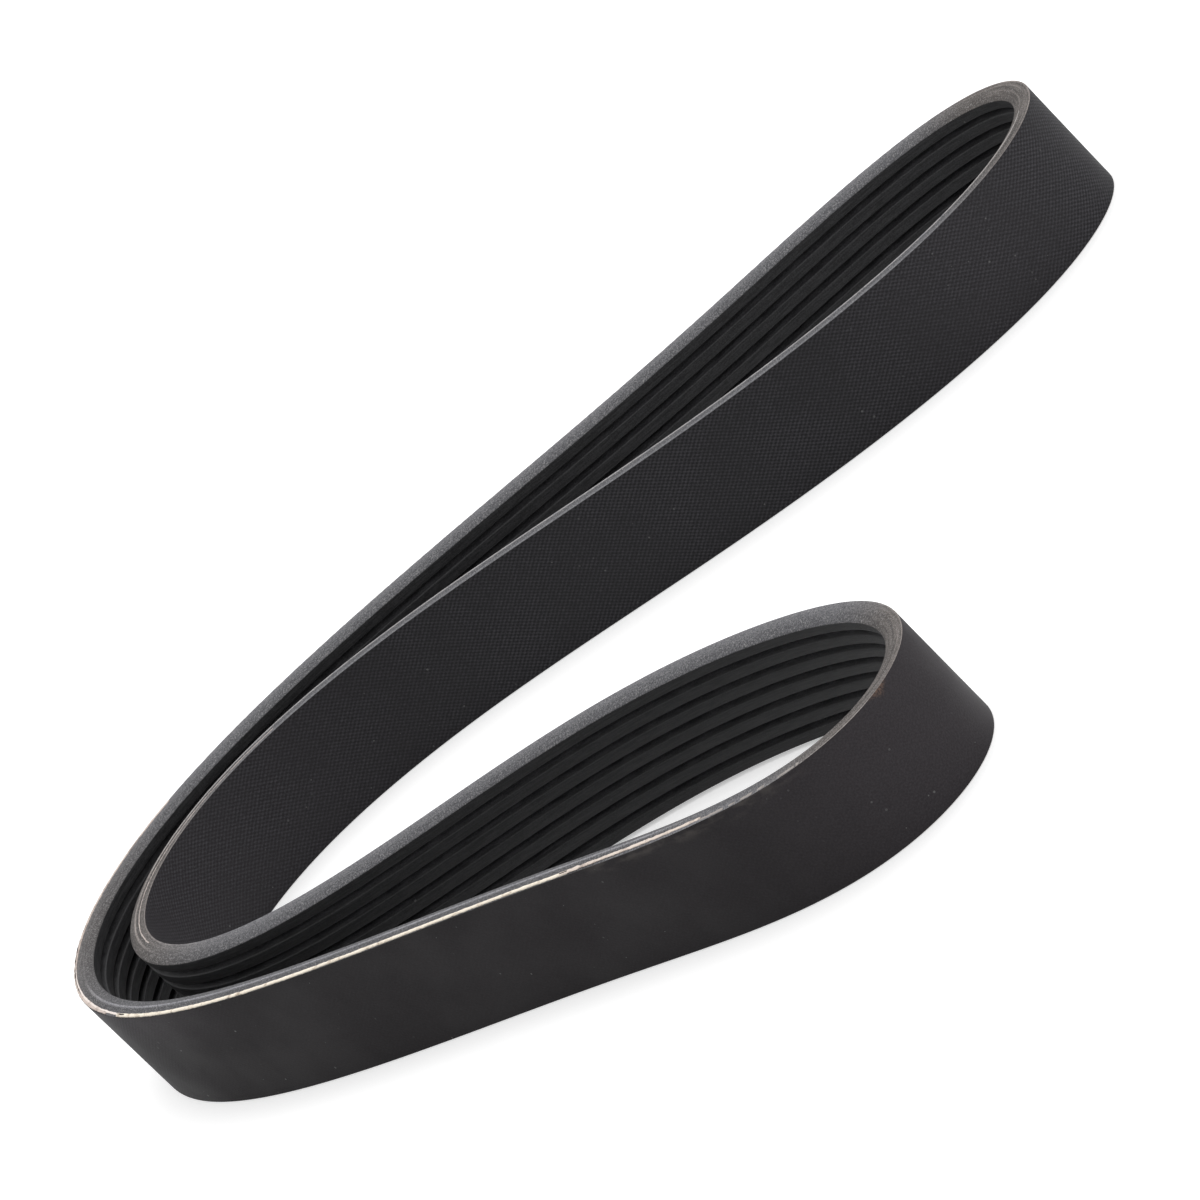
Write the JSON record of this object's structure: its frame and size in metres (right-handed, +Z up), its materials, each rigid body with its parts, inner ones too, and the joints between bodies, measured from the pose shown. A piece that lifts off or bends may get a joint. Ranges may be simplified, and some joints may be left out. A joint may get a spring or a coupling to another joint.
{
  "type": "serpentine belt",
  "caption": "Endless multi-rib rubber drive belt for an engine's accessories, lying free on its cut edge, with lengthwise ribs inside and a smooth fabric back outside.",
  "frame": {"origin": "on the surface that the belt stands on, under the middle of its bounding box", "axes": "+X along the long arm, from the elbow to the arm's end; +Y from the short arm to the long arm; +Z up across the belt's width, from one cut side to the other"},
  "size_m": [0.2488, 0.2094, 0.0249],
  "materials": {
    "rubber": "matte black rubber: woven fabric back, satin ground ribs and speckled grey cut sides"
  },
  "bodies": {
    "root": {"belt": "rubber"}
  },
  "joints": []
}
